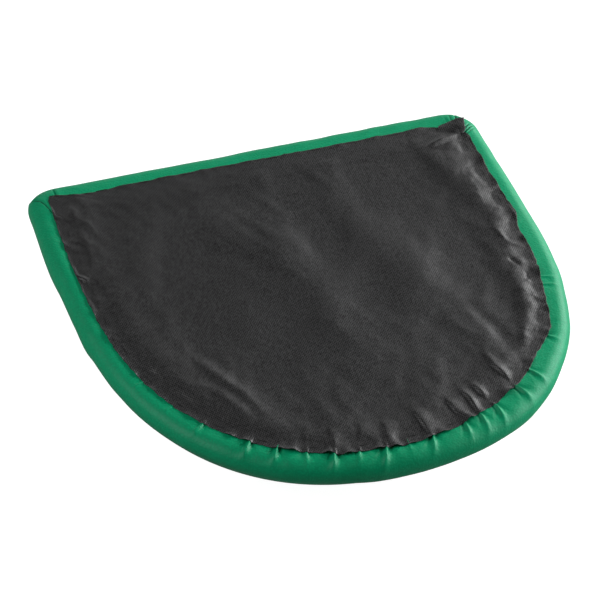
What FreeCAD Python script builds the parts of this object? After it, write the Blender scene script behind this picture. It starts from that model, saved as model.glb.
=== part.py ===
import FreeCAD, Part
import math
import os

# Upholstered seat pad for a chair or stool: a plywood board, foam, wadding, a stapled vinyl
# cover and a dust cover underneath.
# Frame: +Z up with the sitting face on top, straight rear edge towards +Y, rounded front towards -Y.
# Origin: centre of the underside, on the plane that rests on the chair's frame. Millimetres.

# Overall size
SEAT_WIDTH = 432.0
SEAT_DEPTH = 425.0
SEAT_THICKNESS = 57.0

# Plan outline
SIDE_LENGTH = 154.0        # straight run of each side, measured from the rear edge
FRONT_EXPONENT = 2.32      # superellipse exponent of the rounded front
FRONT_POINTS = 16          # spans of the front curve
CORNER_RADIUS = 27.0       # rear corners

# Rim and crown, as seen in a vertical section through the edge
WIDEST_HEIGHT = 12.0       # height at which the pad is widest
SHOULDER_RUN = 12.5        # how far the lower rounding reaches in under the pad
CROWN_RUN = 130.0          # how far in the crown reaches before its level middle
SHOULDER_STEPS = 3
CROWN_STEPS = 12

# Layers, from the underside up
DUST_COVER_THICKNESS = 0.5
COVER_THICKNESS = 1.2
WADDING_THICKNESS = 3.0
BOARD_THICKNESS = 12.7
GAP = 0.1                  # left between neighbouring layers

# How far in from the widest outline each piece ends on the underside
DUST_COVER_INSET = 18.0
DUST_COVER_REAR_INSET = 21.5
DUST_COVER_CORNER = 3.0
BOARD_INSET = 14.0
COVER_LAP_INSET = 47.0

# Air vents bored through the board
VENT_RADIUS = 9.5
VENT_PITCH = 75.0          # centre vent to each of the four around it, along X and along Y

# Staples: flat wire, crown along the edge of the pad
STAPLE_CROWN = 10.0
STAPLE_LEG = 9.0
STAPLE_WIRE = 0.7
STAPLE_WIRE_THICKNESS = 0.5
COVER_STAPLE_INSET = 33.0
COVER_STAPLE_PITCH = 24.0
DUST_STAPLE_MARGIN = 6.0   # from the dust cover's cut edge
DUST_STAPLE_PITCH = 40.0

# Levels worked out from the layers
LAP_BOTTOM = DUST_COVER_THICKNESS + GAP
LAP_TOP = LAP_BOTTOM + COVER_THICKNESS
BOARD_BOTTOM = LAP_TOP + GAP
BOARD_TOP = BOARD_BOTTOM + BOARD_THICKNESS
HALF_WIDTH = SEAT_WIDTH / 2
HALF_DEPTH = SEAT_DEPTH / 2
FRONT_START = HALF_DEPTH - SIDE_LENGTH


def signed_power(value, exponent):
    return math.copysign(abs(value) ** exponent, value)


def front_point(angle, half, start, front, z):
    """Point of the superellipse front: angle -90 degrees is the left side, 0 the front, 90 the right."""
    power = 2 / FRONT_EXPONENT
    x = half * signed_power(math.sin(angle), power)
    y = start - (start - front) * abs(math.cos(angle)) ** power
    return FreeCAD.Vector(x, y, z)


def front_curve(half, start, front, z):
    """The rounded front from the left side to the right, tangent to both sides."""
    angles = [math.pi * (i / FRONT_POINTS - 0.5) for i in range(FRONT_POINTS + 1)]
    curve = Part.BSplineCurve()
    curve.interpolate(
        Points=[front_point(angle, half, start, front, z) for angle in angles],
        InitialTangent=FreeCAD.Vector(0, -1, 0),
        FinalTangent=FreeCAD.Vector(0, 1, 0),
    )
    return curve.toShape()


def corner_arc(x, rear, radius, z):
    """Quarter circle at a rear corner, from the side to the rear edge; the sign of x picks the side."""
    sign = math.copysign(1, x)
    centre = FreeCAD.Vector(x - sign * radius, rear - radius, z)
    reach = radius * math.sqrt(0.5)
    return Part.Arc(
        centre + FreeCAD.Vector(sign * radius, 0, 0),
        centre + FreeCAD.Vector(sign * reach, reach, 0),
        centre + FreeCAD.Vector(0, radius, 0),
    ).toShape()


def outline(inset, z, radius=CORNER_RADIUS, rear_inset=None):
    """Closed D-shaped wire, the pad's widest outline moved in by inset."""
    half = HALF_WIDTH - inset
    rear = HALF_DEPTH - (inset if rear_inset is None else rear_inset)
    start = FRONT_START * half / HALF_WIDTH
    front = front_curve(half, start, inset - HALF_DEPTH, z)
    right_corner = corner_arc(half, rear, radius, z)
    left_corner = corner_arc(-half, rear, radius, z)
    left_start = FreeCAD.Vector(-half, start, z)
    right_start = FreeCAD.Vector(half, start, z)
    right_side = Part.makeLine(right_start, FreeCAD.Vector(half, rear - radius, z))
    rear_edge = Part.makeLine(FreeCAD.Vector(half - radius, rear, z), FreeCAD.Vector(radius - half, rear, z))
    left_side = Part.makeLine(FreeCAD.Vector(-half, rear - radius, z), left_start)
    return Part.Wire([front, right_side, right_corner, rear_edge, left_corner, left_side])


def slab(inset, low, high, radius, rear_inset=None):
    """Flat D-shaped plate between two levels."""
    face = Part.Face(outline(inset, low, radius, rear_inset))
    return face.extrude(FreeCAD.Vector(0, 0, high - low))


def skin(depth):
    """The pad's solid form, moved in by depth from the cover's outer surface."""
    low = LAP_BOTTOM + depth
    crown_height = SEAT_THICKNESS - depth - WIDEST_HEIGHT
    radius = CORNER_RADIUS - depth
    sections = []
    for i in range(SHOULDER_STEPS):
        angle = math.pi / 2 * i / SHOULDER_STEPS
        inset = depth + SHOULDER_RUN * (1 - math.sin(angle))
        sections.append(outline(inset, WIDEST_HEIGHT - (WIDEST_HEIGHT - low) * math.cos(angle), radius))
    for i in range(CROWN_STEPS + 1):
        angle = math.pi / 2 * i / CROWN_STEPS
        inset = depth + (CROWN_RUN - depth) * (1 - math.cos(angle))
        sections.append(outline(inset, WIDEST_HEIGHT + crown_height * math.sin(angle), radius))
    return Part.makeLoft(sections, True, False)


def clear_below(level):
    """Block larger than the pad, reaching down from a level."""
    size = 2 * SEAT_WIDTH
    return Part.makeBox(size, size, size, FreeCAD.Vector(-SEAT_WIDTH, -SEAT_WIDTH, level - size))


def staple(point, tangent, level):
    """One staple driven upwards: the crown's lower face at level, lying along the tangent."""
    half_crown = STAPLE_CROWN / 2
    half_wire = STAPLE_WIRE / 2
    crown = Part.makeBox(
        STAPLE_CROWN, STAPLE_WIRE, STAPLE_WIRE_THICKNESS, FreeCAD.Vector(-half_crown, -half_wire, 0)
    )
    left_leg = Part.makeBox(
        STAPLE_WIRE_THICKNESS, STAPLE_WIRE, STAPLE_LEG, FreeCAD.Vector(-half_crown, -half_wire, 0)
    )
    right_leg = left_leg.translated(FreeCAD.Vector(STAPLE_CROWN - STAPLE_WIRE_THICKNESS, 0, 0))
    shape = crown.fuse([left_leg, right_leg]).removeSplitter()
    turn = FreeCAD.Rotation(FreeCAD.Vector(1, 0, 0), tangent)
    shape.Placement = FreeCAD.Placement(FreeCAD.Vector(point.x, point.y, level), turn)
    return shape


def staple_row(path, pitch, level):
    """Staples spaced evenly round a closed path, starting half a pitch from its first point."""
    count = round(path.Length / pitch)
    points = path.discretize(Number=4 * count + 1)
    row = []
    for i in range(count):
        before, point, after = points[4 * i + 1], points[4 * i + 2], points[4 * i + 3]
        row.append(staple(point, after - before, level))
    return Part.makeCompound(row)


def make_board():
    board = slab(BOARD_INSET, BOARD_BOTTOM, BOARD_TOP, CORNER_RADIUS - BOARD_INSET)
    centres = [(0, 0), (VENT_PITCH, 0), (-VENT_PITCH, 0), (0, VENT_PITCH), (0, -VENT_PITCH)]
    for x, y in centres:
        bore = Part.makeCylinder(VENT_RADIUS, BOARD_THICKNESS, FreeCAD.Vector(x, y, BOARD_BOTTOM))
        board = board.cut(bore)
    return board


def make_foam():
    """Foam block glued to the board, larger than it all round, so that it pads the board's edge."""
    depth = COVER_THICKNESS + WADDING_THICKNESS + 2 * GAP
    pocket = slab(BOARD_INSET - GAP, 0, BOARD_TOP + GAP, CORNER_RADIUS - BOARD_INSET + GAP)
    return skin(depth).cut(pocket)


def make_wadding():
    """Layer of fibre wadding over the foam, open underneath."""
    outer_depth = COVER_THICKNESS + GAP
    inner_depth = outer_depth + WADDING_THICKNESS
    hollow = skin(inner_depth)
    return skin(outer_depth).cut(hollow).cut(clear_below(LAP_BOTTOM + inner_depth + GAP))


def make_cover():
    """Vinyl pulled over the pad and lapped under the board, with its middle open underneath."""
    opening = slab(COVER_LAP_INSET, 0, BOARD_BOTTOM, CORNER_RADIUS)
    return skin(0).cut(skin(COVER_THICKNESS)).cut(opening)


def make_dust_cover():
    return slab(DUST_COVER_INSET, 0, DUST_COVER_THICKNESS, DUST_COVER_CORNER, DUST_COVER_REAR_INSET)


def make_cover_staples():
    path = outline(COVER_STAPLE_INSET, 0)
    return staple_row(path, COVER_STAPLE_PITCH, LAP_BOTTOM)


def make_dust_cover_staples():
    path = outline(DUST_COVER_INSET + DUST_STAPLE_MARGIN, 0)
    return staple_row(path, DUST_STAPLE_PITCH, 0)


def main():
    cover_staples = make_cover_staples()
    dust_cover_staples = make_dust_cover_staples()
    nodes = {
        "seat_board": make_board().cut(cover_staples).cut(dust_cover_staples),
        "foam_block": make_foam(),
        "fibre_wadding": make_wadding(),
        "vinyl_cover": make_cover().cut(cover_staples).cut(dust_cover_staples),
        "cover_staples": cover_staples,
        "dust_cover": make_dust_cover().cut(dust_cover_staples),
        "dust_cover_staples": dust_cover_staples,
    }
    os.makedirs("parts", exist_ok=True)
    for name, shape in nodes.items():
        shape.exportStep(f"parts/{name}.step")
        print(name, len(shape.Solids), "solids", round(shape.Volume), "mm3", "valid" if shape.isValid() else "INVALID")


main()
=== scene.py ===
"""Upholstered seat pad: the visible surfaces and their materials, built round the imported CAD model.

The row's frame has the sitting face up. The camera looks up at the underside, and the floor, backdrop
and lights turn over with it, so that the pad lies on its face whenever its underside is looked at.
"""

import math

import bmesh
import bpy
import numpy as np
from mathutils import Matrix, Vector
from mathutils.bvhtree import BVHTree
from mathutils.kdtree import KDTree


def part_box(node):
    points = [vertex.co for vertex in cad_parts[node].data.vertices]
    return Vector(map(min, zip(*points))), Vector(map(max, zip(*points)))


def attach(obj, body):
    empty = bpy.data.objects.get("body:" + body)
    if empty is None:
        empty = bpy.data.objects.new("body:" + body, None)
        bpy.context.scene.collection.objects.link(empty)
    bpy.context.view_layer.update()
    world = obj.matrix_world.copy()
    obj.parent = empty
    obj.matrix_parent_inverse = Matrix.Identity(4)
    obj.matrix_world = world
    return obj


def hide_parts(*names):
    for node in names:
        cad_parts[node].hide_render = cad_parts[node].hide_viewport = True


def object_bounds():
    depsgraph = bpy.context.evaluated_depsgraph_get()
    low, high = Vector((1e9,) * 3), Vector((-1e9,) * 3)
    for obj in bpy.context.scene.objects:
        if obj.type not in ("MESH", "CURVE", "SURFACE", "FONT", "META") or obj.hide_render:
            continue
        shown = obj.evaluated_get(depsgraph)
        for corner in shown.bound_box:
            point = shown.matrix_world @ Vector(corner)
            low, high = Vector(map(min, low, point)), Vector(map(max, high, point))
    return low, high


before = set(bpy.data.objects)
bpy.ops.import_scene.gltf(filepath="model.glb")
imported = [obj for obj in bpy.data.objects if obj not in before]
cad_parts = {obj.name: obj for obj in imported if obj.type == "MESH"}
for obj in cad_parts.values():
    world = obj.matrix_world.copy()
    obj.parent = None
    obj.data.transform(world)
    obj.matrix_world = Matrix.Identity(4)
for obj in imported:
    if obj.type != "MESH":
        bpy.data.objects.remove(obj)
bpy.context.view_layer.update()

MM = 0.001
COVER_LOW, COVER_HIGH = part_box("vinyl_cover")
DUST_LOW, DUST_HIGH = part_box("dust_cover")

# The outline and section that the CAD cover has
HALF_WIDTH = COVER_HIGH.x
HALF_DEPTH = COVER_HIGH.y
LAP_LEVEL = COVER_LOW.z
CROWN_LEVEL = COVER_HIGH.z
SIDE_LENGTH = 154 * MM
FRONT_POWER = 2 / 2.32
CORNER_RADIUS = 27 * MM
WIDEST_HEIGHT = 12 * MM
SHOULDER_RUN = 12.5 * MM
CROWN_RUN = 130 * MM
LAP_INSET = 47 * MM
COVER_THICKNESS = 1.2 * MM
FRONT_START = HALF_DEPTH - SIDE_LENGTH
LAP_LENGTH = LAP_INSET - SHOULDER_RUN

# The dust cover's cut edge
DUST_INSET = HALF_WIDTH - DUST_HIGH.x
DUST_REAR_INSET = HALF_DEPTH - DUST_HIGH.y
DUST_CORNER = 3 * MM
DUST_THICKNESS = 0.35 * MM


# -------------------------------- numbers

def smoothstep(value, low, high):
    t = np.clip((value - low) / (high - low), 0, 1)
    return t * t * (3 - 2 * t)


def bell(value, width):
    return np.exp(-((value / width) ** 2))


def waves(x, y, seed, count, shortest, longest, heading=0.0, scatter=math.pi):
    """Smooth seeded undulation of about unit height, its crests lying within scatter of a heading."""
    rng = np.random.default_rng(seed)
    total = np.zeros_like(x)
    for _ in range(count):
        length = shortest * (longest / shortest) ** rng.random()
        across = heading + math.pi / 2 + scatter * (2 * rng.random() - 1)
        phase = 2 * math.pi * rng.random()
        total += np.cos(2 * math.pi * (x * math.cos(across) + y * math.sin(across)) / length + phase)
    return total / math.sqrt(count)


def rumple(x, y, seed, size):
    """Seeded rumples with sharp crests, about size apart, between -1 and 1."""
    bent_x = x + 0.5 * size * waves(x, y, seed + 1, 10, 2.5 * size, 6 * size)
    bent_y = y + 0.5 * size * waves(x, y, seed + 2, 10, 2.5 * size, 6 * size)
    field = waves(bent_x, bent_y, seed, 14, 1.4 * size, 3.2 * size)
    return 1 - 1.6 * np.clip(np.sqrt(field ** 2 + 0.01), 0, 1.25)


def round_ripple(arc, length, seed, shortest, longest, count=14):
    """Seeded ripple along a closed edge, about unit height."""
    rng = np.random.default_rng(seed)
    total = np.zeros_like(arc)
    for _ in range(count):
        turns = round(length / (shortest * (longest / shortest) ** rng.random()))
        total += np.cos(2 * math.pi * turns * arc / length + 2 * math.pi * rng.random())
    return total / math.sqrt(count)


# -------------------------------- outline

BLOCK = 16


def front_points(angle, half, start, front):
    """Superellipse from the left side (-90 degrees) round the front to the right side (90)."""
    x = half * np.sign(angle) * np.abs(np.sin(angle)) ** FRONT_POWER
    y = start - (start - front) * np.abs(np.cos(angle)) ** FRONT_POWER
    return np.column_stack([x, y])


def spread(curve, spacing_at):
    """Places (0 to 1) along a dense curve, spaced by spacing_at(arc length), in whole blocks of columns."""
    steps = np.linalg.norm(np.diff(curve, axis=0), axis=1)
    arc = np.concatenate([[0], np.cumsum(steps)])
    middles = (arc[1:] + arc[:-1]) / 2
    cells = np.concatenate([[0], np.cumsum(steps / spacing_at(middles))])
    count = BLOCK * max(1, round(cells[-1] / BLOCK))
    wanted = np.linspace(0, cells[-1], count + 1)
    return np.interp(wanted, cells, np.linspace(0, 1, len(curve)))


def straight(length, fine, coarse, reach, ends):
    """Places (0 to 1) along a straight run that is finer near its ends, given as 0, 1 or both."""
    def spacing(s):
        nearest = np.min([np.abs(s - end * length) for end in ends], axis=0)
        return coarse - (coarse - fine) * bell(nearest, reach)
    dense = np.column_stack([np.linspace(0, length, 2001), np.zeros(2001)])
    return spread(dense, spacing)


class Outline:
    """Matching columns of points on the pad's outline, at any inset."""

    def __init__(self, front_step, side_step, rear_step, corner_step, reach=28 * MM):
        angles = np.linspace(-math.pi / 2, math.pi / 2, 4001)
        dense = front_points(angles, HALF_WIDTH, FRONT_START, -HALF_DEPTH)
        self.front = (spread(dense, lambda s: np.full_like(s, front_step)) - 0.5) * math.pi
        self.side = straight(SIDE_LENGTH - CORNER_RADIUS, corner_step, side_step, reach, (1,))
        quarter = CORNER_RADIUS * math.pi / 2
        self.corner = straight(quarter, corner_step, corner_step, reach, (0,)) * math.pi / 2
        self.rear = straight(2 * (HALF_WIDTH - CORNER_RADIUS), corner_step, rear_step, reach, (0, 1))
        points = self.ring(0)
        closed = np.vstack([points, points[:1]])
        arc = np.concatenate([[0], np.cumsum(np.linalg.norm(np.diff(closed, axis=0), axis=1))])
        self.length = arc[-1]
        self.arc = arc[:-1]
        tangent = np.roll(points, -1, axis=0) - np.roll(points, 1, axis=0)
        tangent /= np.linalg.norm(tangent, axis=1)[:, None]
        self.outward = np.column_stack([tangent[:, 1], -tangent[:, 0]])
        self.columns = len(points)

    def ring(self, inset, radius=CORNER_RADIUS, rear_inset=None):
        """Points round the outline, from the left end of the front curve, anticlockwise seen from above."""
        half = HALF_WIDTH - inset
        rear = HALF_DEPTH - (inset if rear_inset is None else rear_inset)
        start = FRONT_START * half / HALF_WIDTH
        front = front_points(self.front, half, start, inset - HALF_DEPTH)
        side_y = start + (rear - radius - start) * self.side
        right = np.column_stack([np.full_like(side_y, half), side_y])
        arc = np.column_stack([np.cos(self.corner), np.sin(self.corner)]) * radius
        right_corner = arc + [half - radius, rear - radius]
        left_corner = arc[::-1] * [-1, 1] + [radius - half, rear - radius]
        rear_x = (half - radius) * (1 - 2 * self.rear)
        rear_edge = np.column_stack([rear_x, np.full_like(rear_x, rear)])
        left = right[::-1] * [-1, 1]
        runs = (front, right, right_corner, rear_edge, left_corner, left)
        return np.vstack([run[:-1] for run in runs])

    def gap(self, arc):
        """Signed distance of each column from a place on the outline, the short way round."""
        return (self.arc - arc + self.length / 2) % self.length - self.length / 2

    def nearest(self, x, y):
        """Arc of the column nearest to (x, y) mm."""
        points = self.ring(0)
        return self.arc[np.argmin(np.hypot(points[:, 0] - x * MM, points[:, 1] - y * MM))]


# -------------------------------- meshes

def add_object(name, data):
    obj = bpy.data.objects.new(name, data)
    bpy.context.scene.collection.objects.link(obj)
    return obj


class Shell:
    """A mesh laid down ring by ring. Rings may have fewer columns than the one before, by a whole ratio."""

    def __init__(self):
        self.points = []
        self.marks = []
        self.faces = []
        self.count = 0

    def ring(self, points, marks=None):
        """Adds points, each with a mark from 0 to 1 that the vinyl's material reads as painted shade in its
        creases.
        """
        self.points.append(points)
        self.marks.append(np.zeros(len(points)) if marks is None else marks)
        self.count += len(points)
        return np.arange(self.count - len(points), self.count)

    def face(self, *corners):
        self.faces.append(tuple(int(i) for i in corners))

    def stitch(self, a, b):
        """Joins two rings by quads, or by triangles where one has fewer columns."""
        if len(a) < len(b):
            a, b = b, a
        ratio = len(a) // len(b)
        for j in range(len(b)):
            near, far = b[j], b[(j + 1) % len(b)]
            fine = [a[(j * ratio + k) % len(a)] for k in range(ratio + 1)]
            if ratio == 1:
                self.face(fine[0], fine[1], far, near)
                continue
            middle = ratio // 2
            for k in range(middle):
                self.face(fine[k], fine[k + 1], near)
            self.face(fine[middle], far, near)
            for k in range(middle, ratio):
                self.face(fine[k], fine[k + 1], far)

    def fan(self, ring, tip):
        """Closes a ring by triangles to a point at its middle."""
        centre = self.ring(np.array([tip]))[0]
        for k in range(len(ring)):
            self.face(ring[k], ring[(k + 1) % len(ring)], centre)

    def patch(self, grid, thickness):
        """A thick sheet over a rows x columns grid of points, with its edges closed."""
        rows, columns = grid.shape[:2]
        faces = [self.ring(row) for row in grid]
        backs = [self.ring(row + [0, 0, thickness]) for row in grid]
        for r in range(rows - 1):
            for layer in (faces, backs):
                for c in range(columns - 1):
                    self.face(layer[r][c], layer[r][c + 1], layer[r + 1][c + 1], layer[r + 1][c])
            for c in (0, columns - 1):
                self.face(faces[r][c], faces[r + 1][c], backs[r + 1][c], backs[r][c])
        for r in (0, rows - 1):
            for c in range(columns - 1):
                self.face(faces[r][c], faces[r][c + 1], backs[r][c + 1], backs[r][c])

    def build(self, name):
        mesh = bpy.data.meshes.new(name)
        mesh.from_pydata(np.vstack(self.points).tolist(), [], self.faces)
        edit = bmesh.new()
        edit.from_mesh(mesh)
        bmesh.ops.recalc_face_normals(edit, faces=edit.faces)
        edit.to_mesh(mesh)
        edit.free()
        mesh.polygons.foreach_set("use_smooth", [True] * len(mesh.polygons))
        # The painted shade of the creases, kept on the points for the material
        painted_crease_shade = mesh.attributes.new("painted_crease_shade", "FLOAT", "POINT")
        painted_crease_shade.data.foreach_set("value", np.concatenate(self.marks))
        mesh.update()
        return add_object(name, mesh)


def grid_normals(grid):
    """Outward unit normals of rings stored as rows x columns x 3, running up from the underside."""
    along = np.roll(grid, -1, axis=1) - np.roll(grid, 1, axis=1)
    up = np.gradient(grid, axis=0)
    normals = np.cross(along, up)
    return normals / np.linalg.norm(normals, axis=2)[:, :, None]


# -------------------------------- cover

cover_outline = Outline(front_step=0.85 * MM, side_step=2.6 * MM, rear_step=2.8 * MM, corner_step=0.75 * MM)

# The places below, and those of the dust cover's folds and flap, were read off the photo and
# turned into mm on the pad through the fitted camera.

# Gathers that the stapling leaves round the front: place on the dust cover's edge, height, reach and lean
PUCKERS = (
    (182, -63, 0.7, 9, 0.00), (165, -96, 0.5, 7, 0.10), (150, -126, 1.3, 10, 0.15),
    (120, -157, 2.3, 11, 0.05), (101, -171, 2.4, 11, 0.05), (80, -182, 1.2, 10, -0.10),
    (59, -192, 2.6, 14, 0.10), (38, -193, 1.1, 10, 0.20), (16, -200, 2.5, 16, 0.35),
    (-3, -195, 0.9, 9, 0.10), (-25, -197, 1.8, 13, 0.45), (-55, -187, 1.6, 11, 0.35),
    (-71, -182, 1.3, 14, 0.40), (-87, -176, 1.6, 14, 0.40), (-113, -160, 1.7, 13, 0.25),
    (-132, -146, 1.1, 12, 0.25), (-165, -111, 0.9, 9, 0.10), (-192, -49, 0.6, 9, 0.00),
    (-195, -39, 0.5, 8, 0.10),
)
PUCKER_GAIN = 1.15
PUCKER_WIDTH = 0.95 * MM
PUCKER_SPREAD = 0.12  # widening per length run out
PUCKER_LEAD = 9 * MM  # how far before the dust cover's edge a gather starts
PUCKER_HOLLOW = 0.42  # depth of the hollow beside it, as a share of its height

# Creases over the rear corners, from and to: depth, width and how far the sides puff up
CREASES = (
    ((189, 191), (188.6, 204), 1.5, 0.9, 0.9),
    ((209, 195), (195, 202), 0.8, 0.8, 0.4),
    ((-197, 189), (-199, 204), 1.8, 0.9, 1.1),
    ((-200, 186), (-202, 200), 1.6, 0.8, 0.9),
    ((-200, 174), (-209, 180.5), 1.3, 0.7, 0.9),
    ((-200, 171), (-208.5, 177), 0.9, 0.7, 0.6),
    ((-199, 177.5), (-207.5, 185), 1.2, 0.7, 0.8),
    ((-192, 192), (-193.5, 204), 1.2, 0.7, 0.8),
    ((-188, 192.5), (-188.5, 203), 0.8, 0.7, 0.5),
)
CREASE_PUFF_REACH = 4.5 * MM
CREASE_PAINTED_SHADE = 0.4  # painted shade per mm of a crease's depth


# Rows of the cover: how far in the hidden lap is coarse, and the crown's angle up to which it is fine
LAP_COARSE = 20 * MM
CROWN_FINE = 0.4


def cover_rows():
    """Inset, level, path length and column stride of each row, from the lap's inner edge up to the crown."""
    lap = np.concatenate([np.linspace(0, LAP_COARSE, 5)[:-1], np.linspace(LAP_COARSE, LAP_LENGTH, 13)])
    inset, level, stride = [LAP_INSET - lap], [np.full_like(lap, LAP_LEVEL)], [np.full(len(lap), 1)]
    shoulder = np.linspace(0, math.pi / 2, 16)[1:]
    inset.append(SHOULDER_RUN * (1 - np.sin(shoulder)))
    level.append(WIDEST_HEIGHT - (WIDEST_HEIGHT - LAP_LEVEL) * np.cos(shoulder))
    stride.append(np.full(len(shoulder), 1))
    crown = np.concatenate([np.linspace(0, CROWN_FINE, 11)[1:], np.linspace(CROWN_FINE, math.pi / 2, 30)[1:]])
    inset.append(CROWN_RUN * (1 - np.cos(crown)))
    level.append(WIDEST_HEIGHT + (CROWN_LEVEL - WIDEST_HEIGHT) * np.sin(crown))
    stride.append(np.select([crown <= CROWN_FINE, crown <= 0.8, crown <= 1.3], [1, 2, 4], 8))
    inset, level, stride = np.concatenate(inset), np.concatenate(level), np.concatenate(stride)
    path = np.concatenate([[0], np.cumsum(np.hypot(np.diff(inset), np.diff(level)))])
    return inset, level, path, stride


COVER_INSETS, COVER_LEVELS, COVER_PATH, COVER_STRIDES = cover_rows()
DUST_EDGE_PATH = LAP_INSET - DUST_INSET


def base_cover():
    rings = [cover_outline.ring(inset) for inset in COVER_INSETS]
    return np.array([np.column_stack([r, np.full(len(r), z)]) for r, z in zip(rings, COVER_LEVELS)])


COVER_BASE = base_cover()


def place(x, y):
    """Arc and path of the point of the cover's underside nearest to (x, y) mm."""
    lower = COVER_LEVELS <= WIDEST_HEIGHT + 1e-6
    gaps = np.hypot(COVER_BASE[lower][:, :, 0] - x * MM, COVER_BASE[lower][:, :, 1] - y * MM)
    row, column = np.unravel_index(np.argmin(gaps), gaps.shape)
    return cover_outline.arc[column], COVER_PATH[row]


def pucker_relief(path):
    """Height of the gathers: narrow crests that widen and sink as they run out over the rim."""
    relief = np.zeros((len(path), cover_outline.columns))
    beyond = path - DUST_EDGE_PATH
    for x, y, height, reach, lean in PUCKERS:
        arc, _ = place(x, y)
        out = np.clip(beyond, 0, None)
        width = (PUCKER_WIDTH + PUCKER_SPREAD * out)[:, None]
        lead = smoothstep(beyond, -PUCKER_LEAD, 0)
        fade = np.where(beyond > 0, bell(out, reach * MM), lead)
        across = cover_outline.gap(arc)[None, :] - (lean * out)[:, None]
        crest = bell(across, width) - PUCKER_HOLLOW * bell(np.abs(across) - 3.1 * width, 1.9 * width)
        relief += PUCKER_GAIN * height * MM * fade[:, None] * crest
    return relief


def crease_relief(path):
    """Sharp creases where the cover is folded over the rear corners, and the painted shade along them, deeper
    for the deeper creases.
    """
    relief = np.zeros((len(path), cover_outline.columns))
    closed = np.zeros_like(relief)
    for start, end, depth, width, puff in CREASES:
        (arc_a, path_a), (arc_b, path_b) = place(*start), place(*end)
        share = np.clip((path - path_a) / (path_b - path_a), -0.4, 1.3)
        line = arc_a + (arc_b - arc_a) * share
        across = np.abs(np.array([cover_outline.gap(a) for a in line]))
        fade = smoothstep(share, -0.4, 0.0) * (1 - smoothstep(share, 0.8, 1.3))
        groove = bell(across, width * MM)
        relief += MM * fade[:, None] * (puff * np.exp(-across / CREASE_PUFF_REACH) - depth * groove)
        closed += CREASE_PAINTED_SHADE * depth * fade[:, None] * groove
    return relief, closed


# Where the lapped side ends, from the dust cover outwards
TUCK_LINE = ((197, 166), (199, 174.5), (201.5, 183), (204.5, 190), (208.5, 194.5), (211, 197))
TUCK_OVER = 1.15  # height of the lapped side, in mm, and of the side under it
TUCK_UNDER = 0.6
TUCK_SLOT = 2.6  # depth of the slot between them, in mm
TUCK_SHARPNESS = 0.30 * MM
# Width of the painted shade along the tuck line
TUCK_SHADE = 1.2 * MM


def tuck_relief(path):
    """The side of the cover lapped over the corner's tucked fold, at +X, and the painted shade along the
    fold's line.
    """
    arcs, paths = np.array([place(x, y) for x, y in TUCK_LINE]).T
    line = np.interp(path, paths, arcs)
    across = np.array([-cover_outline.gap(a) for a in line])
    fade = smoothstep(path, 18 * MM, 27 * MM) * (1 - smoothstep(path, 50 * MM, 64 * MM))
    over = TUCK_OVER * np.exp(-np.clip(across, 0, None) / (9 * MM))
    slot = bell(across + 0.8 * MM, 1.0 * MM)
    under = TUCK_UNDER * np.exp(-np.clip(-across, 0, None) / (7 * MM)) - TUCK_SLOT * slot
    edge = 0.5 * (1 + np.tanh(across / TUCK_SHARPNESS))
    relief = MM * fade[:, None] * (over * edge + under * (1 - edge))
    return relief, fade[:, None] * bell(across, TUCK_SHADE)


RIM_UNEVENNESS = 0.22  # slow unevenness of the rim, and the quick one at its edge, in mm
EDGE_UNEVENNESS = 0.12
# Where the foam stands fuller or flatter round the rim: place, rise and width. The rises were adjusted
# until the outline of the render agreed with the photo's.
BULGES = (
    (216, 120, 2.6, 42), (-216, 40, -1.1, 40), (-120, -186, 1.1, 60), (150, 212, -0.8, 60),
    (40, 212, -0.6, 60), (6, -212, 2.5, 50), (-190, -97, 1.4, 24), (214, -20, -1.0, 28),
)


def rim_relief(path):
    """Slow unevenness of the foam under the cover, on the rim and crown."""
    arc = cover_outline.arc
    slow = round_ripple(arc, cover_outline.length, 3, 45 * MM, 160 * MM)
    quick = round_ripple(arc, cover_outline.length, 4, 16 * MM, 40 * MM)
    for x, y, rise, width in BULGES:
        slow = slow + rise / RIM_UNEVENNESS * bell(cover_outline.gap(place(x, y)[0]), width * MM)
    on_rim = (smoothstep(path, 28 * MM, 46 * MM) * (1 - smoothstep(path, 70 * MM, 150 * MM)))[:, None]
    on_edge = (smoothstep(path, 24 * MM, 32 * MM) * (1 - smoothstep(path, 40 * MM, 66 * MM)))[:, None]
    return MM * (RIM_UNEVENNESS * on_rim * slow[None, :] + EDGE_UNEVENNESS * on_edge * quick[None, :])


SWELL_STEP = 8  # columns of the cover to one of the simulated copy
SWELL_FRAMES = 20
SWELL_CAP = 5 * MM
SWELL_CLOTH = {
    "quality": 6, "mass": 0.4, "air_damping": 4, "tension_stiffness": 25, "compression_stiffness": 25,
    "shear_stiffness": 10, "bending_stiffness": 2, "use_pressure": True, "uniform_pressure_force": 4,
}


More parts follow.
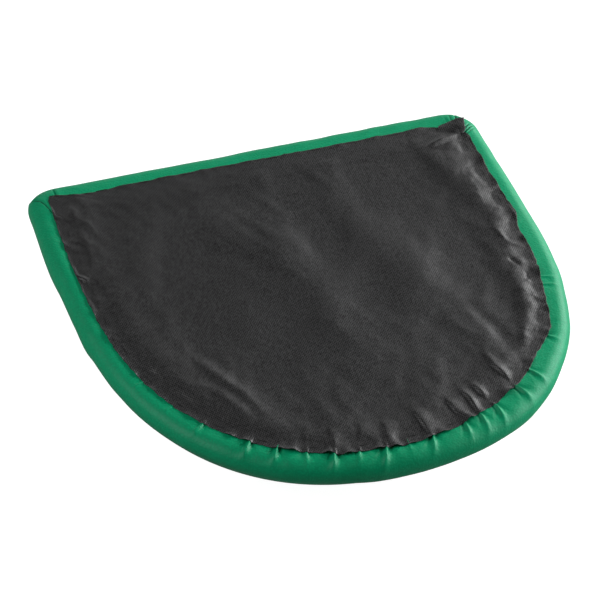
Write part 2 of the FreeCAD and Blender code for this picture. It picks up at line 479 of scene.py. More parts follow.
def swell(points):
    """How the pressure of the foam moves the cover, found by cloth simulation on a coarse copy."""
    rows = np.unique(np.concatenate([np.arange(0, len(COVER_PATH), 2), [len(COVER_PATH) - 1]]))
    coarse = points[rows][:, ::SWELL_STEP]
    shell = Shell()
    rings = [shell.ring(r) for r in coarse]
    for a, b in zip(rings, rings[1:]):
        shell.stitch(a, b)
    top = coarse[-1].mean(axis=0)
    inner = [top + (coarse[-1] - top) * k for k in (0.8, 0.6, 0.4, 0.2)]
    inner_rings = [shell.ring(r) for r in inner]
    for a, b in zip([rings[-1]] + inner_rings, inner_rings):
        shell.stitch(a, b)
    shell.fan(inner_rings[-1], top)
    shell.fan(rings[0], coarse[0].mean(axis=0))
    pad = shell.build("swell_form")
    start = np.array([v.co for v in pad.data.vertices])
    held = pad.vertex_groups.new(name="held")
    for v in pad.data.vertices:
        weight = 1 - smoothstep(v.co.z, 9 * MM, 26 * MM)
        held.add([v.index], float(weight), "REPLACE")
    cloth = pad.modifiers.new("cloth", "CLOTH")
    for name, value in SWELL_CLOTH.items():
        setattr(cloth.settings, name, value)
    cloth.settings.effector_weights.gravity = 0
    cloth.settings.vertex_group_mass = "held"
    cloth.collision_settings.use_self_collision = False
    cloth.point_cache.frame_end = SWELL_FRAMES
    scene = bpy.context.scene
    for number in range(1, SWELL_FRAMES + 1):
        scene.frame_set(number)
    posed = pad.evaluated_get(bpy.context.evaluated_depsgraph_get())
    moved = np.array([v.co for v in posed.data.vertices]) - start
    scene.frame_set(1)
    bpy.data.objects.remove(pad)
    return rows, moved


def smooth_round(values, passes):
    """Averages columns with their neighbours, round the outline."""
    for _ in range(passes):
        values = (np.roll(values, 1, axis=1) + 2 * values + np.roll(values, -1, axis=1)) / 4
    return values


def spread_swell(points):
    """The simulated movement of every point of the cover, capped, and that of its middle."""
    rows, moved = swell(points)
    size = np.linalg.norm(moved, axis=1)[:, None]
    moved = moved * SWELL_CAP * np.tanh(size / SWELL_CAP) / np.maximum(size, 1e-9)
    columns = cover_outline.columns // SWELL_STEP
    coarse = moved[:len(rows) * columns].reshape(len(rows), columns, 3)
    on_crown = smoothstep(COVER_PATH[rows], 55 * MM, 110 * MM)[:, None, None]
    coarse = smooth_round(coarse, 6)
    coarse = coarse + on_crown * (smooth_round(coarse, 260) - coarse)
    middle = moved[-2]
    along = np.arange(cover_outline.columns) / SWELL_STEP
    wrapped = np.concatenate([coarse, coarse[:, :1]], axis=1)
    by_column = np.empty((len(rows), cover_outline.columns, 3))
    for axis in range(3):
        for r in range(len(rows)):
            by_column[r, :, axis] = np.interp(along, np.arange(columns + 1), wrapped[r, :, axis])
    by_column = smooth_round(by_column, 60)
    full = np.empty_like(points)
    for axis in range(3):
        for c in range(cover_outline.columns):
            full[:, c, axis] = np.interp(np.arange(len(points)), rows, by_column[:, c, axis])
    return full, middle


DEEPEST_DENT = 0.9 * MM
WADDING_CLEARANCE = 0.6 * MM


def limit_dents(outwards):
    """Limits how far the cover is drawn in where the wadding lies just beneath it."""
    limited = np.where(outwards < 0, DEEPEST_DENT * np.tanh(outwards / DEEPEST_DENT), outwards)
    padded = smoothstep(COVER_LEVELS, 2.5 * MM, 4.5 * MM)
    padded[COVER_PATH > LAP_INSET] = 1
    return outwards + padded[:, None] * (limited - outwards)


def clear_the_wadding(points, normals):
    """Moves the cover's points outwards where they come too near the wadding itself."""
    solid = bmesh.new()
    solid.from_mesh(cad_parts["fibre_wadding"].data)
    tree = BVHTree.FromBMesh(solid)
    solid.free()
    short = np.zeros(points.shape[:2])
    for r in np.flatnonzero((COVER_LEVELS > 7 * MM) | (COVER_PATH > LAP_INSET)):
        for c in range(points.shape[1]):
            nearest, _, _, gap = tree.find_nearest(points[r, c])
            above = np.dot(points[r, c] - np.array(nearest), normals[r, c]) > 0
            short[r, c] = WADDING_CLEARANCE - (gap if above else -gap)
    return points + normals * smooth_round(np.clip(short, 0, None), 8)[:, :, None]


# The levelled middle of a sheet: each ring's size, as a share of the last full ring
PLATEAU_SHARES = (0.86, 0.72, 0.58, 0.44, 0.30, 0.18, 0.09)
SIDEWAYS_SHARE = 0.3  # of the simulated movement along the surface
COVER_SPARE = 0.3 * MM  # how much thicker than the vinyl the visible shell is


def build_cover():
    """The vinyl, and the grid of points of its outer side."""
    normals = grid_normals(COVER_BASE)
    creases, painted_shade_in_creases = crease_relief(COVER_PATH)
    tuck, painted_shade_at_tuck = tuck_relief(COVER_PATH)
    # Painted shade: how far the vinyl's colour is darkened along the creases and the tuck line
    closed = np.clip(painted_shade_in_creases + painted_shade_at_tuck, 0, 1)
    relief = pucker_relief(COVER_PATH) + creases + tuck + rim_relief(COVER_PATH)
    moved, middle = spread_swell(COVER_BASE)
    swollen = np.sum(moved * normals, axis=2)
    sideways = SIDEWAYS_SHARE * (moved - normals * swollen[:, :, None])
    outer = COVER_BASE + sideways + normals * limit_dents(relief + swollen)[:, :, None]
    outer = clear_the_wadding(outer, normals)
    inner_depth = COVER_THICKNESS + COVER_SPARE
    inner = COVER_BASE + sideways + normals * (limit_dents(swollen) - inner_depth)[:, :, None]
    shell = Shell()
    previous = lap_ring = shell.ring(outer[0])
    for points, marks, stride in zip(outer[1:], closed[1:], COVER_STRIDES[1:]):
        ring = shell.ring(points[::stride], marks[::stride])
        shell.stitch(previous, ring)
        previous = ring
    top = outer[-1].mean(axis=0)
    top[2] += (middle - moved[-1].mean(axis=0))[2]
    for share in PLATEAU_SHARES:
        stride = 8 if share > 0.5 else 16
        points = top + (outer[-1][::stride] - top) * share
        edge_height = outer[-1][::stride, 2]
        points[:, 2] = top[2] + (edge_height - top[2]) * share ** 2
        ring = shell.ring(points)
        shell.stitch(previous, ring)
        previous = ring
    shell.fan(previous, top)
    previous = lap_ring
    for points in inner[::2]:
        ring = shell.ring(points[::8])
        shell.stitch(previous, ring)
        previous = ring
    shell.fan(previous, inner[-1].mean(axis=0))
    return shell.build("vinyl_cover_skin"), outer


# -------------------------------- dust cover

dust_outline = Outline(front_step=1.3 * MM, side_step=1.6 * MM, rear_step=1.9 * MM, corner_step=1.1 * MM)

# How far in the cut edge lies, at places round the outline, in mm. These began as the output of a
# program that measured the photo, and were then rounded and corrected.
EDGE_INSETS = (
    (210, -20, 17.5), (214, 32, 16.8), (216, 63, 15.8), (216, 98, 15.0), (216, 140, 16.0),
    (216, 182, 18.3), (185, 212, 19.0), (170, 212, 22.5), (155, 212, 24.5), (144, 212, 24.5),
    (128, 212, 22.8), (60, 212, 22.0), (-60, 212, 22.5), (-140, 212, 22.0), (-170, 212, 21.5),
    (-193, 212, 21.5), (-216, 180, 17.0), (-216, 166, 15.2), (-216, 158, 16.5), (-216, 110, 18.0),
    (-216, 70, 17.6), (-216, 56, 16.8), (-214, 37, 22.0), (-213, 23, 23.0), (-212, -9, 20.5),
    (-206, -40, 21.5), (-199, -75, 20.5), (-190, -92, 18.0), (-183, -112, 16.0), (-172, -130, 19.5),
    (-163, -142, 22.0), (-150, -156, 21.5), (-100, -186, 21.5), (-75, -197, 21.5), (-52, -206, 18.8),
    (-30, -210, 17.5), (-10, -212, 15.2), (8, -212, 15.4), (25, -212, 17.0), (41, -210, 17.0),
    (57, -206, 14.8), (70, -203, 17.5), (120, -180, 19.0), (160, -142, 19.5), (190, -92, 18.5),
)


def edge_shift():
    """Movement of the cut edge outwards, from the CAD's even inset, at each column."""
    places = sorted((dust_outline.nearest(x, y), inset * MM) for x, y, inset in EDGE_INSETS)
    arcs, insets = np.array(places).T
    wanted = np.interp(dust_outline.arc, arcs, insets, period=dust_outline.length)
    even = np.where(np.abs(dust_outline.outward[:, 1] - 1) < 0.05, DUST_REAR_INSET, DUST_INSET)
    return smooth_round(even[None, :], 12)[0] - smooth_round(wanted[None, :], 5)[0]


def islands(obj):
    """Centres of the separate solids of a mesh."""
    parent = list(range(len(obj.data.vertices)))

    def root(i):
        while parent[i] != i:
            parent[i] = parent[parent[i]]
            i = parent[i]
        return i
    for edge in obj.data.edges:
        a, b = edge.vertices
        parent[root(a)] = root(b)
    groups = {}
    for v in obj.data.vertices:
        key = tuple(round(c, 6) for c in v.co)
        groups.setdefault(root(v.index), []).append(key)
    return [np.mean(group, axis=0) for group in groups.values()]


STAPLES = islands(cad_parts["dust_cover_staples"])


def ridge(x, y, path, height, left, right):
    """Height of a fold that follows a path, with its own width on either side of the path's direction."""
    path = np.array(path) * MM
    lengths = np.linalg.norm(np.diff(path, axis=0), axis=1)
    starts = np.concatenate([[0], np.cumsum(lengths)])
    nearest = np.full(x.shape, 1e9)
    signed = np.zeros(x.shape)
    share = np.zeros(x.shape)
    for a, b, length, start in zip(path, path[1:], lengths, starts):
        d = (b - a) / length
        along = np.clip((x - a[0]) * d[0] + (y - a[1]) * d[1], 0, length)
        gx, gy = x - a[0] - along * d[0], y - a[1] - along * d[1]
        gap = np.hypot(gx, gy)
        closer = gap < nearest
        side = np.sign(d[0] * gy - d[1] * gx)
        signed = np.where(closer, side * gap, signed)
        share = np.where(closer, (start + along) / starts[-1], share)
        nearest = np.minimum(gap, nearest)
    width = np.where(signed > 0, left, right) * MM
    taper = np.sin(math.pi * np.clip(share, 0.02, 0.98)) ** 0.6
    return height * MM * taper * bell(signed, width)


# Folds and creases of the cloth: path, height, width on the left and on the right of it
FOLDS = (
    # long and soft, across the middle
    (((134, -50), (124, -72), (116, -88), (107, -103), (97, -134)), 1.7, 4.0, 6.0),
    (((142, -78), (126, -100), (112, -128)), 1.2, 4.0, 6.0),
    (((140, 110), (146, 40), (132, -30)), 0.7, 14.0, 18.0),
    (((66, 140), (48, 104), (16, 50), (4, -22), (-6, -88), (-14, -130)), 3.4, 28.0, 30.0),
    (((-64, 90), (-84, 10), (-98, -60), (-110, -120)), 2.7, 24.0, 26.0),
    (((-20, 130), (-60, 60), (-74, -10)), 0.5, 18.0, 24.0),
    (((-112, -50), (-124, -95), (-127, -124)), -1.3, 6.0, 7.0),
    # the loose run along the left side
    (((-150, 168), (-158, 130), (-166, 100), (-172, 70)), 1.7, 10.0, 22.0),
    (((-172, 118), (-175, 88), (-177, 57), (-175, 36), (-175, 10), (-174, -12)), 1.0, 7.0, 14.0),
    (((-165, -16), (-163, -40), (-159, -62), (-158, -78), (-150, -96)), 1.4, 6.0, 12.0),
    (((-150, -84), (-144, -100), (-136, -116)), 1.6, 4.0, 6.0),
    (((-168, -6), (-172, -17), (-175, -22)), -1.1, 2.0, 3.0),
    (((-175, -27), (-175.5, -31), (-172.5, -37)), -1.2, 1.1, 1.3),
    (((-172, -39), (-176, -45), (-181, -49)), 1.1, 1.6, 1.6),
    (((-189, 44), (-190, 30), (-191, 18)), -0.9, 2.0, 3.0),
    (((-196, 58), (-196, 46), (-194, 34)), 0.8, 1.2, 1.6),
    (((-190, 76), (-191, 67), (-190, 58)), -1.0, 2.5, 3.0),
    (((-119, -146), (-124, -142), (-129, -134)), -1.3, 1.0, 1.2),
    # gathers along the front
    (((-101, -110), (-103, -132), (-107, -142), (-114, -161)), 2.0, 1.5, 6.0),
    (((-77, -145), (-81, -158), (-84, -172)), 1.9, 1.3, 4.0),
    (((-65, -148), (-69, -161), (-71, -182)), 2.0, 1.4, 4.5),
    (((-50, -154), (-53, -171), (-56, -188)), 1.8, 1.6, 7.0),
    (((-20, -160), (-21, -170), (-24, -195)), 1.9, 1.5, 9.0),
    (((8, -164), (9, -172), (14, -196)), 1.5, 1.5, 8.0),
    (((27, -162), (30, -174), (36, -190)), 1.2, 2.0, 8.0),
    (((53, -160), (54, -172), (57, -190)), 1.5, 1.4, 7.0),
    (((74, -158), (76, -170), (80, -184)), 1.0, 2.0, 7.0),
    (((128, -136), (134, -133), (141, -126)), -2.0, 1.3, 1.6),
    # short folds on the right side
    (((201, 84), (194, 72), (190.5, 60), (190.5, 46)), 2.2, 1.5, 2.6),
    (((196, 49), (194.7, 41), (194.8, 32)), -1.8, 1.3, 1.6),
    (((197, 93), (197, 87), (197, 80)), -1.6, 1.3, 1.6),
    (((184, 165), (186, 120), (184, 60), (174, -20), (160, -70), (138, -110)), 0.6, 8.0, 20.0),
    # the rear corners
    (((-158, 160), (-166, 162.5), (-179, 166), (-190, 169)), 3.8, 1.7, 4.0),
    (((-162, 154), (-166, 149), (-172, 150)), -0.8, 3.0, 3.0),
    (((-184, 148), (-187.5, 157), (-191, 164)), 1.8, 2.4, 3.5),
    (((-174, 189), (-186, 184.5), (-193, 176), (-196, 170)), 1.9, 4.0, 4.0),
    (((196, 188), (194.8, 175), (195.3, 164)), -1.8, 1.5, 2.5),
    (((186, 178), (180, 168), (182, 154)), 1.2, 3.0, 5.0),
    (((176, 186), (168, 172), (172, 150)), 0.9, 4.0, 7.0),
)


# How the loose cloth stands off the board
EDGE_TO_BOARD = LAP_INSET - DUST_INSET
BELLY = 1.5 * MM
SIDE_BELLY = 2.2 * MM  # more of it towards the right of the front
EDGE_LIFT = 1.0 * MM
EDGE_LIFT_REACH = 4.5 * MM
BOARD_SINK = 0.8 * MM  # past the lap's inner edge
LONG_WAVES, SHORT_WAVES, EDGE_WAVES = 0.75 * MM, 0.20 * MM, 0.16 * MM
EDGE_RUMPLES, EDGE_FINE_RUMPLES, BOARD_RUMPLES = 0.80 * MM, 0.30 * MM, 0.14 * MM
DEEPEST_DIP = 0.7 * MM
STAPLE_DIMPLE = 0.13 * MM
STAPLE_REACH = 5.5 * MM


def slack(x, y):
    """How loosely the cloth lies: most along the left side, least along the rear."""
    left = smoothstep(-x, 90 * MM, 190 * MM) * smoothstep(y, 200 * MM, 150 * MM)
    right = smoothstep(x, 120 * MM, 190 * MM) * smoothstep(y, 200 * MM, 150 * MM)
    front = smoothstep(-y, 60 * MM, 170 * MM)
    return 0.35 + 0.75 * left + 0.45 * right + 0.20 * front * (1 - left) * (1 - right)


def dust_relief(x, y, depth, arc):
    """Height of the loose cloth over the board: depth is the distance in from the cut edge."""
    loose = slack(x, y)
    turned = smoothstep(x, 40 * MM, 130 * MM) * smoothstep(-y, -20 * MM, 80 * MM)
    past_edge = smoothstep(depth, 3 * MM, 28 * MM) * (1 - smoothstep(depth, 40 * MM, 90 * MM))
    rise = BELLY * (loose - 0.3) * smoothstep(depth, 6 * MM, 22 * MM) + SIDE_BELLY * turned * past_edge
    lift = 1.1 + round_ripple(arc, dust_outline.length, 21, 12 * MM, 34 * MM)
    lift = np.clip(lift * np.exp(-depth / EDGE_LIFT_REACH), 0, 3)
    front = smoothstep(-y, 120 * MM, 175 * MM)
    height = rise + EDGE_LIFT * lift * (loose + 0.95 * front)
    height -= BOARD_SINK * smoothstep(depth, EDGE_TO_BOARD - 6 * MM, EDGE_TO_BOARD + 16 * MM)
    inside = smoothstep(depth, 6 * MM, 40 * MM)
    height += LONG_WAVES * inside * waves(x, y, 31, 18, 55 * MM, 150 * MM, math.radians(105), 0.5)
    height += SHORT_WAVES * inside * waves(x, y, 32, 24, 14 * MM, 34 * MM, math.radians(100), 1.0)
    near = bell(depth - 10 * MM, 16 * MM)
    height += EDGE_WAVES * near * loose * waves(x, y, 33, 24, 9 * MM, 26 * MM)
    band = bell(depth - 15 * MM, 15 * MM) * np.clip(loose - 0.35, 0, 1)
    height += EDGE_RUMPLES * band * rumple(x, y, 41, 20 * MM)
    height += EDGE_FINE_RUMPLES * band * rumple(x, y, 47, 9 * MM)
    height += BOARD_RUMPLES * inside * rumple(x, y, 53, 26 * MM)
    for fold in FOLDS:
        height += ridge(x, y, *fold)
    height = np.where(height < 0, DEEPEST_DIP * np.tanh(height / DEEPEST_DIP), height)
    for centre in STAPLES:
        held = bell(np.hypot(x - centre[0], y - centre[1]), STAPLE_REACH)
        height = height * (1 - held) - STAPLE_DIMPLE * held
    return height


# Distance in from the cut edge of each ring of the sheet, and of its middle
DUST_DEPTHS = MM * np.concatenate([
    [0, 0.4, 0.9, 1.5, 2.2, 3.0, 3.9, 4.8],
    np.arange(5.8, 30, 1.35), np.arange(31, 76, 2.6), np.arange(78, 112, 4),
])
MIDDLE_DEPTH = 150 * MM

RIPPLE = 0.25 * MM  # of the cut edge, and the finer fraying
FRAY = 0.12 * MM
LAP_CLEARANCE = 0.12 * MM
FLAP_CLEARANCE = 0.1 * MM

# The left rear corner of the sheet is drawn in, and its tip shows from under the drawn-in edge
CUT_DIRECTION = np.array([-0.6, 0.8])
CUT_START = 249 * MM
CUT_DEPTH = 8 * MM
FLAP_EDGE = ((-178, 187.5), (-186, 189.6), (-197, 191.7), (-204.3, 190.8), (-201.4, 182.5), (-198.6, 173))
FLAP_CURL = 1.7 * MM
FLAP_ROOT = ((-172, 182), (-177, 179), (-181, 176), (-184, 173), (-187, 170), (-190, 166))


def cut_corner(flat):
    """Draws the points near the corner in, towards a slanting edge."""
    beyond = np.clip(flat @ CUT_DIRECTION - CUT_START, 0, None)
    kept = CUT_DEPTH * (1 - np.exp(-beyond / CUT_DEPTH))
    return flat - CUT_DIRECTION * (beyond - kept)[:, None]


def flap_grid(tree, lap):
    """The sheet's folded-under tip, lying on the cover."""
    steps = np.linspace(0, 1, 37)
    marks = np.linspace(0, 1, len(FLAP_EDGE))
    edge, root = (
        np.column_stack([np.interp(steps, marks, column) for column in np.array(line).T]) * MM
        for line in (FLAP_EDGE, FLAP_ROOT)
    )
    share = np.linspace(0, 1, 16)[:, None]
    flat = root + (edge - root) * share[:, :, None]
    local = np.array([lap[tree.find((px, py, 0))[1], 2] for px, py in flat.reshape(-1, 2)])
    local = local.reshape(flat.shape[:2])
    level = local + (local.min() - local) * smoothstep(share, 0.2, 0.6)
    curl = FLAP_CURL * smoothstep(-flat[:, :, 0], 180 * MM, 205 * MM)
    curl += 0.3 * MM * np.cos(flat[:, :, 1] / (2.2 * MM)) * smoothstep(-flat[:, :, 0], 186 * MM, 200 * MM)
    return np.dstack([flat, level - DUST_THICKNESS - FLAP_CLEARANCE - curl])


def sheet_plan():
    """Points of the sheet in plan, ring by ring from the cut edge inwards."""
    shift = edge_shift()
    ripple = round_ripple(dust_outline.arc, dust_outline.length, 11, 9 * MM, 30 * MM) * RIPPLE
    fray = round_ripple(dust_outline.arc, dust_outline.length, 12, 3 * MM, 7 * MM, 24) * FRAY
    rings = []
    for depth in DUST_DEPTHS:
        radius = min(DUST_CORNER + 0.8 * depth, CORNER_RADIUS)
        flat = dust_outline.ring(DUST_INSET + depth, radius, DUST_REAR_INSET + depth)
        move = shift * math.exp(-depth / (40 * MM)) + (ripple + fray) * math.exp(-depth / (6 * MM))
        rings.append(cut_corner(flat + dust_outline.outward * move[:, None]))
    return np.array(rings)


def fill_middle(shell, previous, last, lift):
    """Closes one side of the sheet inside its last full ring."""
    middle = last.mean(axis=0)
    for share in PLATEAU_SHARES:
        stride = 4 if share > 0.6 else (8 if share > 0.35 else 16)
        points = middle + (last[::stride] - middle) * share
        x, y = points[:, 0], points[:, 1]
        local = dust_relief(x, y, np.full_like(x, MIDDLE_DEPTH), np.zeros_like(x))
        points[:, 2] = DUST_LOW.z - local + lift
        ring = shell.ring(points)
        shell.stitch(previous, ring)
        previous = ring
    centre = dust_relief(middle[None, 0], middle[None, 1], np.array([MIDDLE_DEPTH]), np.zeros(1))[0]
    shell.fan(previous, np.array([middle[0], middle[1], DUST_LOW.z - centre + lift]))


def build_dust_cover(cover):
    """The non-woven sheet on the underside, lying on the cover's lap and over the board."""
    flat = sheet_plan()
    depths = np.repeat(DUST_DEPTHS[:, None], dust_outline.columns, axis=1)
    arcs = np.repeat(dust_outline.arc[None, :], len(DUST_DEPTHS), axis=0)
    face = DUST_LOW.z - dust_relief(flat[:, :, 0], flat[:, :, 1], depths, arcs)
    lap = cover[COVER_PATH <= LAP_LENGTH + 12 * MM].reshape(-1, 3)
    tree = KDTree(len(lap))
    for i, (px, py, _) in enumerate(lap):
        tree.insert((px, py, 0), i)
    tree.balance()
    for r in np.flatnonzero(DUST_DEPTHS < EDGE_TO_BOARD):
        for c in range(dust_outline.columns):
            under = lap[tree.find((*flat[r, c], 0))[1], 2]
            face[r, c] = min(face[r, c], under - DUST_THICKNESS - LAP_CLEARANCE)
    outer = np.dstack([flat, face])
    shell = Shell()
    strides = np.select([DUST_DEPTHS < 30 * MM, DUST_DEPTHS < 77 * MM], [1, 2], 4)
    edges = []
    for lift in (0, DUST_THICKNESS):
        side = outer + [0, 0, lift]
        previous = shell.ring(side[0])
        edges.append(previous)
        if lift:
            shell.stitch(*edges)
        for points, stride in zip(side[1:], strides[1:]):
            ring = shell.ring(points[::stride])
            shell.stitch(previous, ring)
            previous = ring
        fill_middle(shell, previous, side[-1], lift)
    shell.patch(flap_grid(tree, lap), DUST_THICKNESS * 0.8)
    return shell.build("dust_cover_cloth")


# -------------------------------- materials

class Finish:
    """A procedural material: a Principled shader fed by nodes in the object's own coordinates."""

    def __init__(self, name):
        self.material = bpy.data.materials.new(name)
        self.material.use_nodes = True
        self.tree = self.material.node_tree
        self.shader = self.tree.nodes["Principled BSDF"]
        self.where = self.tree.nodes.new("ShaderNodeTexCoord").outputs["Object"]

    def link(self, value, socket):
        """Feeds a socket from a node's output, or sets it to a plain value."""
        if isinstance(value, bpy.types.NodeSocket):
            self.tree.links.new(value, socket)
        else:
            socket.default_value = value

    def node(self, kind, **inputs):
        node = self.tree.nodes.new("ShaderNode" + kind)
        for name, value in inputs.items():
            self.link(value, node.inputs[name.replace("_", " ")])
        return node

    def stretched(self, scale):
        return self.node("Mapping", Vector=self.where, Scale=scale).outputs["Vector"]

    def noise(self, size, detail=3.0, rough=0.5, stretch=(1, 1, 1)):
        node = self.node("TexNoise", Scale=1 / size, Detail=detail, Roughness=rough)
        self.link(self.stretched(stretch), node.inputs["Vector"])
        return node.outputs["Fac"]

    def cells(self, size, feature="F1"):
        node = self.node("TexVoronoi", Vector=self.stretched((1, 1, 1)), Scale=1 / size)
        node.feature = feature
        return node.outputs["Distance"]

    def math(self, operation, a, b=0.0):
        node = self.node("Math")
        node.operation = operation
        self.link(a, node.inputs[0])
        self.link(b, node.inputs[1])
        return node.outputs[0]

    def axes(self):
        return self.node("SeparateXYZ", Vector=self.where).outputs

    def ramp(self, value, low, high, out_low=0, out_high=1):
        limits = {"From_Min": low, "From_Max": high, "To_Min": out_low, "To_Max": out_high}
        return self.node("MapRange", Value=value, **limits).outputs["Result"]

    def mark(self, name):
        """A number kept on the mesh's points."""
        node = self.node("Attribute")
        node.attribute_name = name
        return node.outputs["Fac"]

    def mix(self, share, a, b):
        node = self.node("Mix")
        node.data_type = "RGBA"
        self.link(share, node.inputs["Factor"])
        self.link(a, node.inputs[6])
        self.link(b, node.inputs[7])
        return node.outputs[2]

    def bump(self, height, distance, strength=1.0, under=None):
        node = self.node("Bump", Height=height, Distance=distance, Strength=strength)
        if under is not None:
            self.link(under, node.inputs["Normal"])
        return node.outputs["Normal"]

    def set(self, **inputs):
        for name, value in inputs.items():
            self.link(value, self.shader.inputs[name.replace("_", " ")])

    def give(self, obj):
        obj.data.materials.clear()
        obj.data.materials.append(self.material)


def vinyl_finish():
    f = Finish("green_vinyl")
    grain = f.cells(1.6 * MM, "SMOOTH_F1")
    pores = f.noise(0.45 * MM, 2.0)
    drift = f.noise(70 * MM, 2.0)
    scuffs = f.noise(9 * MM, 5.0, 0.65)
    colour = f.mix(f.ramp(drift, 0.3, 0.7), (0, 0.280, 0.120, 1), (0, 0.318, 0.140, 1))
    colour = f.mix(f.ramp(grain, 0, 0.6, 0, 0.35), colour, (0, 0.130, 0.056, 1))
    # Painted shade: the vinyl goes nearly black along its creases and tuck line, where their shade falls
    painted_crease_shade = f.mark("painted_crease_shade")
    colour = f.mix(f.ramp(painted_crease_shade, 0.1, 0.6, 0, 0.92), colour, (0.001, 0.018, 0.008, 1))
    rough = f.math("ADD", f.ramp(scuffs, 0.3, 0.75, 0.44, 0.54), f.ramp(pores, 0.3, 0.7, -0.03, 0.03))
    soft = f.noise(7 * MM, 4.0, 0.6)
    under = f.bump(soft, 0.5 * MM, 0.35, f.bump(pores, 0.05 * MM, 0.5))
    normal = f.bump(grain, 0.24 * MM, 0.8, under)
    # Painted shade too: the highlights are taken out along the creases and the tuck line
    f.set(Specular_IOR_Level=f.ramp(painted_crease_shade, 0.1, 0.6, 0.5, 0.03))
    f.set(Base_Color=colour, Roughness=rough, Normal=normal, IOR=1.32, Specular_Tint=(0.72, 1.0, 0.95, 1))
    return f


# Period of the bonds' lattice, across and along the sheet: a diamond is half of it
BOND_WIDTH = 4.3 * MM
BOND_LENGTH = 5.6 * MM


def nonwoven_finish():
    f = Finish("black_nonwoven")
    axes = f.axes()
    across = f.math("MULTIPLY", axes["X"], 2 * math.pi / BOND_WIDTH)
    down = f.math("MULTIPLY", axes["Y"], 2 * math.pi / BOND_LENGTH)
    one_way = f.math("SINE", f.math("ADD", across, down))
    other_way = f.math("SINE", f.math("SUBTRACT", across, down))
    bonds = f.ramp(f.math("ABSOLUTE", f.math("MULTIPLY", one_way, other_way)), 0.35, 0.85)
    fibres = f.noise(1.3 * MM, 3.0, 0.65, (1, 0.5, 1))
    speckle = f.noise(2.6 * MM, 3.0, 0.6)
    mottle = f.noise(8 * MM, 4.0, 0.6)
    patches = f.noise(45 * MM, 3.0, 0.55)
    shade = f.math("MULTIPLY", f.ramp(fibres, 0.25, 0.75, 0.4, 1.6), f.ramp(speckle, 0.3, 0.7, 0.75, 1.25))
    shade = f.math("MULTIPLY", shade, f.ramp(mottle, 0.3, 0.7, 0.8, 1.2))
    shade = f.math("MULTIPLY", shade, f.ramp(patches, 0.3, 0.7, 0.85, 1.15))
    shade = f.math("MULTIPLY", shade, f.ramp(bonds, 0, 1, 1.35, 0.42))
    base = f.mix(f.math("MULTIPLY", shade, 0.4), (0.0, 0.0, 0.0, 1), (0.029, 0.029, 0.030, 1))
    sheen = f.math("MULTIPLY", f.ramp(bonds, 0, 1, 0.87, 0.15), f.ramp(fibres, 0.3, 0.7, 0.4, 1.4))
    height = f.math("SUBTRACT", f.math("MULTIPLY", fibres, 0.6), f.math("MULTIPLY", bonds, 0.8))
    normal = f.bump(height, 0.10 * MM, 0.7)
    f.set(Base_Color=base, Roughness=0.5, Specular_IOR_Level=sheen, Normal=normal, IOR=1.45)
    return f


def plywood_finish():
    f = Finish("birch_plywood")
    grain = f.noise(6 * MM, 6.0, 0.62, (0.08, 1, 1))
    z = f.axes()["Z"]
    plies = f.math("SINE", f.math("MULTIPLY", z, 2 * math.pi / (2.9 * MM)))
    wood = f.mix(f.ramp(grain, 0.3, 0.7), (0.46, 0.30, 0.16, 1), (0.66, 0.48, 0.29, 1))
    wood = f.mix(f.ramp(plies, -0.2, 0.2, 0, 0.4), wood, (0.34, 0.21, 0.11, 1))
    f.set(Base_Color=wood, Roughness=f.ramp(grain, 0.3, 0.7, 0.55, 0.75), Normal=f.bump(grain, 0.2 * MM, 0.4))
    return f


def foam_finish():
    f = Finish("open_cell_foam")
    cells = f.cells(0.9 * MM)
    tone = f.noise(30 * MM, 3.0)
    colour = f.mix(f.ramp(cells, 0.1, 0.7), (0.52, 0.44, 0.22, 1), (0.78, 0.70, 0.44, 1))
    colour = f.mix(f.ramp(tone, 0.3, 0.7, 0, 0.3), colour, (0.82, 0.76, 0.52, 1))
    f.set(Base_Color=colour, Roughness=0.95, Normal=f.bump(cells, 0.4 * MM, 0.8))
    return f


def wadding_finish():
    f = Finish("fibre_wadding")
    strands = f.noise(1.4 * MM, 6.0, 0.7, (1, 0.25, 1))
    colour = f.mix(f.ramp(strands, 0.3, 0.7), (0.66, 0.66, 0.64, 1), (0.88, 0.88, 0.86, 1))
    f.set(Base_Color=colour, Roughness=0.9, Normal=f.bump(strands, 0.8 * MM, 0.7), Sheen_Weight=0.4)
    return f


def wire_finish(name, dark, light, metallic):
    f = Finish(name)
    drawn = f.noise(0.6 * MM, 4.0, 0.6)
    f.set(Base_Color=f.mix(f.ramp(drawn, 0.3, 0.7), dark, light), Metallic=metallic)
    f.set(Roughness=f.ramp(drawn, 0.3, 0.7, 0.28, 0.5), Normal=f.bump(drawn, 0.05 * MM, 0.5))
    return f


# -------------------------------- pieces

cover, cover_surface = build_cover()
dust_cover = build_dust_cover(cover_surface)
for piece, node, slot, finish in (
        (cover, "vinyl_cover", "vinyl", vinyl_finish()),
        (dust_cover, "dust_cover", "nonwoven", nonwoven_finish())):
    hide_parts(node)
    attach(piece, "root")
    finish.give(piece)

plywood_finish().give(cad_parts["seat_board"])
foam_finish().give(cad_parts["foam_block"])
wadding_finish().give(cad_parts["fibre_wadding"])
galvanised = wire_finish("galvanised_wire", (0.42, 0.43, 0.45, 1), (0.62, 0.63, 0.65, 1), 1.0)
galvanised.give(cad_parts["cover_staples"])
black = wire_finish("black_wire", (0.003, 0.003, 0.003, 1), (0.012, 0.012, 0.012, 1), 0.0)
black.give(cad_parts["dust_cover_staples"])


# -------------------------------- camera

# Fitted to the pad's outline in the photo
VIEW_AZIMUTH = math.radians(-20.233)
VIEW_ELEVATION = math.radians(41.628)
VIEW_ROLL = math.radians(2.098)
VIEW_DISTANCE = 2150.61 * MM
VIEW_TARGET = Vector((24.78, -4.39, 0.6)) * MM
VIEW_LENS = 150


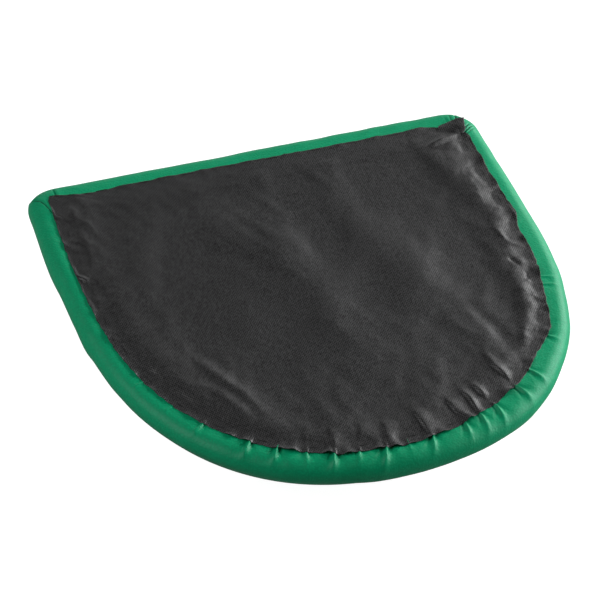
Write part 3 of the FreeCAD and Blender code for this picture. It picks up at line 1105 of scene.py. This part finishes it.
def make_camera():
    """A long lens below the pad, rolled so that the underside's down is the picture's up."""
    level = -math.cos(VIEW_ELEVATION)
    back = Vector((
        math.sin(VIEW_AZIMUTH) * level, math.cos(VIEW_AZIMUTH) * level, -math.sin(VIEW_ELEVATION)))
    right = (-back).cross(Vector((0, 0, -1))).normalized()
    up = right.cross(-back)
    rolled_right = right * math.cos(VIEW_ROLL) + up * math.sin(VIEW_ROLL)
    rolled_up = up * math.cos(VIEW_ROLL) - right * math.sin(VIEW_ROLL)
    data = bpy.data.cameras.new("camera")
    data.lens = VIEW_LENS
    data.clip_start, data.clip_end = 0.05, 50
    camera = add_object("camera", data)
    turn = Matrix((rolled_right, rolled_up, back)).transposed()
    camera.matrix_world = Matrix.Translation(VIEW_TARGET + back * VIEW_DISTANCE) @ turn.to_4x4()
    bpy.context.scene.camera = camera
    return camera


# -------------------------------- stage

def make_stage(camera):
    """An empty at the pad's middle that turns the stage over while the camera is below it.

    Also gives the distance from there to the floor."""
    low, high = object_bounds()
    middle = (low + high) / 2
    stage = add_object("stage", None)
    stage.location = middle
    turn = stage.constraints.new("TRANSFORM")
    turn.target = camera
    turn.map_from = "LOCATION"
    turn.map_to = "ROTATION"
    turn.map_to_y_from = "Z"
    turn.from_min_z = middle.z - MM
    turn.from_max_z = middle.z + MM
    turn.to_min_y_rot = math.pi
    turn.to_max_y_rot = 0
    return stage, (high.z - low.z) / 2


FLOOR_REACH = 30.0
FLOOR_GLOW = 0.08  # what the floor and the sky shed on the pad
SKY_GLOW = 0.07
SEEN_BRIGHTNESS = 0.96  # how both look to the camera


def make_floor(stage, drop):
    """A wide pale sheet, lit a little from within, that the pad rests on."""
    sheet = bmesh.new()
    bmesh.ops.create_grid(sheet, x_segments=24, y_segments=24, size=FLOOR_REACH)
    for v in sheet.verts:
        v.co.z = -drop
    mesh = bpy.data.meshes.new("floor")
    sheet.to_mesh(mesh)
    sheet.free()
    floor = add_object("floor", mesh)
    floor.parent = stage
    f = Finish("pale_floor")
    tone = f.noise(0.8, 2.0)
    f.set(Base_Color=f.mix(tone, (0.30, 0.30, 0.30, 1), (0.31, 0.31, 0.31, 1)), Roughness=0.9)
    seen = f.node("LightPath").outputs["Is Camera Ray"]
    glow = f.ramp(seen, 0, 1, FLOOR_GLOW, SEEN_BRIGHTNESS)
    f.set(Emission_Color=(1, 1, 1, 1), Emission_Strength=glow, Specular_IOR_Level=0.0)
    f.give(floor)


def soft_light(stage, name, place_at, size, power):
    """A rectangular soft light, aimed at the pad from a place in the stage's own frame."""
    data = bpy.data.lights.new(name, "AREA")
    data.shape = "RECTANGLE"
    data.size, data.size_y = size
    data.energy = power
    light = add_object(name, data)
    light.parent = stage
    light.location = place_at
    light.rotation_mode = "QUATERNION"
    light.rotation_quaternion = Vector(place_at).to_track_quat("Z", "Y")


def make_world():
    """An even sky: brighter to the camera than what it sheds on the pad."""
    world = bpy.data.worlds.new("soft_sky")
    bpy.context.scene.world = world
    world.use_nodes = True
    tree = world.node_tree
    path = tree.nodes.new("ShaderNodeLightPath")
    mix = tree.nodes.new("ShaderNodeMix")
    tree.links.new(path.outputs["Is Camera Ray"], mix.inputs["Factor"])
    mix.inputs["A"].default_value = SKY_GLOW
    mix.inputs["B"].default_value = SEEN_BRIGHTNESS
    tree.links.new(mix.outputs["Result"], tree.nodes["Background"].inputs["Strength"])
    tree.nodes["Background"].inputs["Color"].default_value = (1, 1, 1, 1)


camera = make_camera()
stage, drop = make_stage(camera)
make_floor(stage, drop)
soft_light(stage, "right_window", (1.6, 0.15, 0.6), (2.3, 1.0), 64)
soft_light(stage, "left_window", (-1.3, 0.1, 1.15), (1.4, 0.9), 17)
soft_light(stage, "back_strip", (0.5, 2.0, 0.36), (1.9, 0.3), 4)
make_world()
bpy.context.scene.view_settings.view_transform = "Standard"
